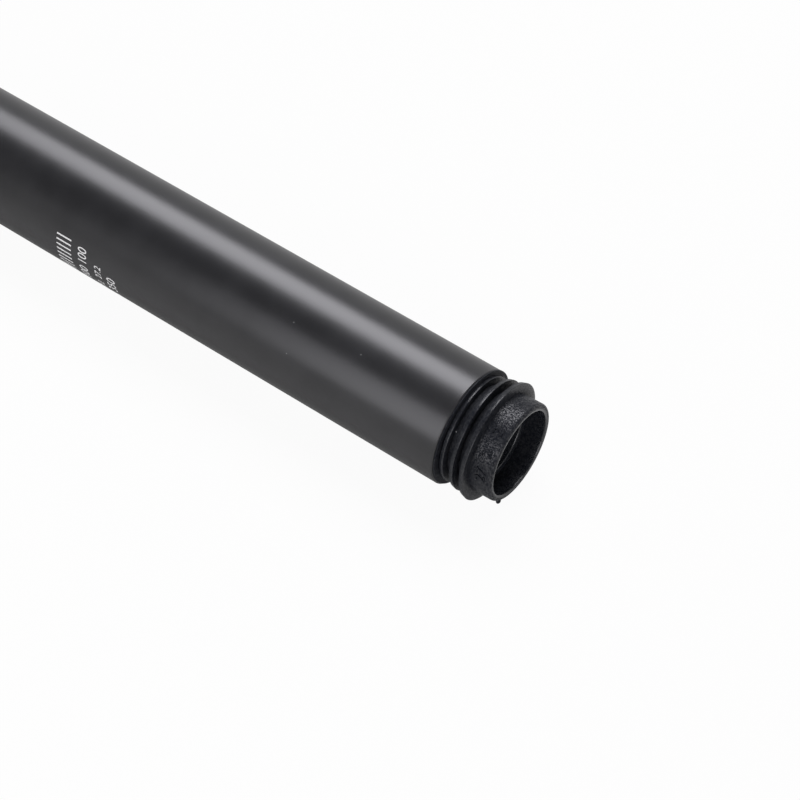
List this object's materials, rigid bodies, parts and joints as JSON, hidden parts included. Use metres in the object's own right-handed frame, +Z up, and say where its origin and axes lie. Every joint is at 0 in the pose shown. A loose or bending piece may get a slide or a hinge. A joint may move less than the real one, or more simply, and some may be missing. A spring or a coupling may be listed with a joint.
{
  "type": "bicycle seatpost",
  "caption": "Long round bicycle seatpost with a finned rubber end plug and a set-back saddle clamp that tilts.",
  "frame": {"origin": "on the tube's axis, at the minimum-insertion mark, 100 mm from the tube's foot", "axes": "+X down the tube towards its foot and plug, +Z up; the post lies at rest on a level floor that its tube and one corner of its saddle clamp touch"},
  "size_m": [0.3829, 0.068, 0.0636],
  "materials": {
    "anodised_tube": "satin black anodised",
    "black_rubber": "moulded matt rubber",
    "anodised_forging": "bead-blasted black anodised",
    "steel_fastener": "plain stainless steel"
  },
  "bodies": {
    "post": {"post_tube": "anodised_tube", "end_plug": "black_rubber", "post_head": "anodised_forging"},
    "saddle_clamp": {"lower_cradle": "anodised_forging", "upper_clamp": "anodised_forging", "clamp_bolt": "steel_fastener", "bolt_washer": "steel_fastener", "saddle_washer": "steel_fastener", "barrel_nut": "steel_fastener"}
  },
  "joints": [
    {"name": "saddle_tilt", "type": "hinge", "parent": "post", "child": "saddle_clamp", "pos_m": [-0.25, 0.02406, 0.01793], "axis": [0, 0.5975, -0.8018], "range_deg": [-15, 15]}
  ]
}
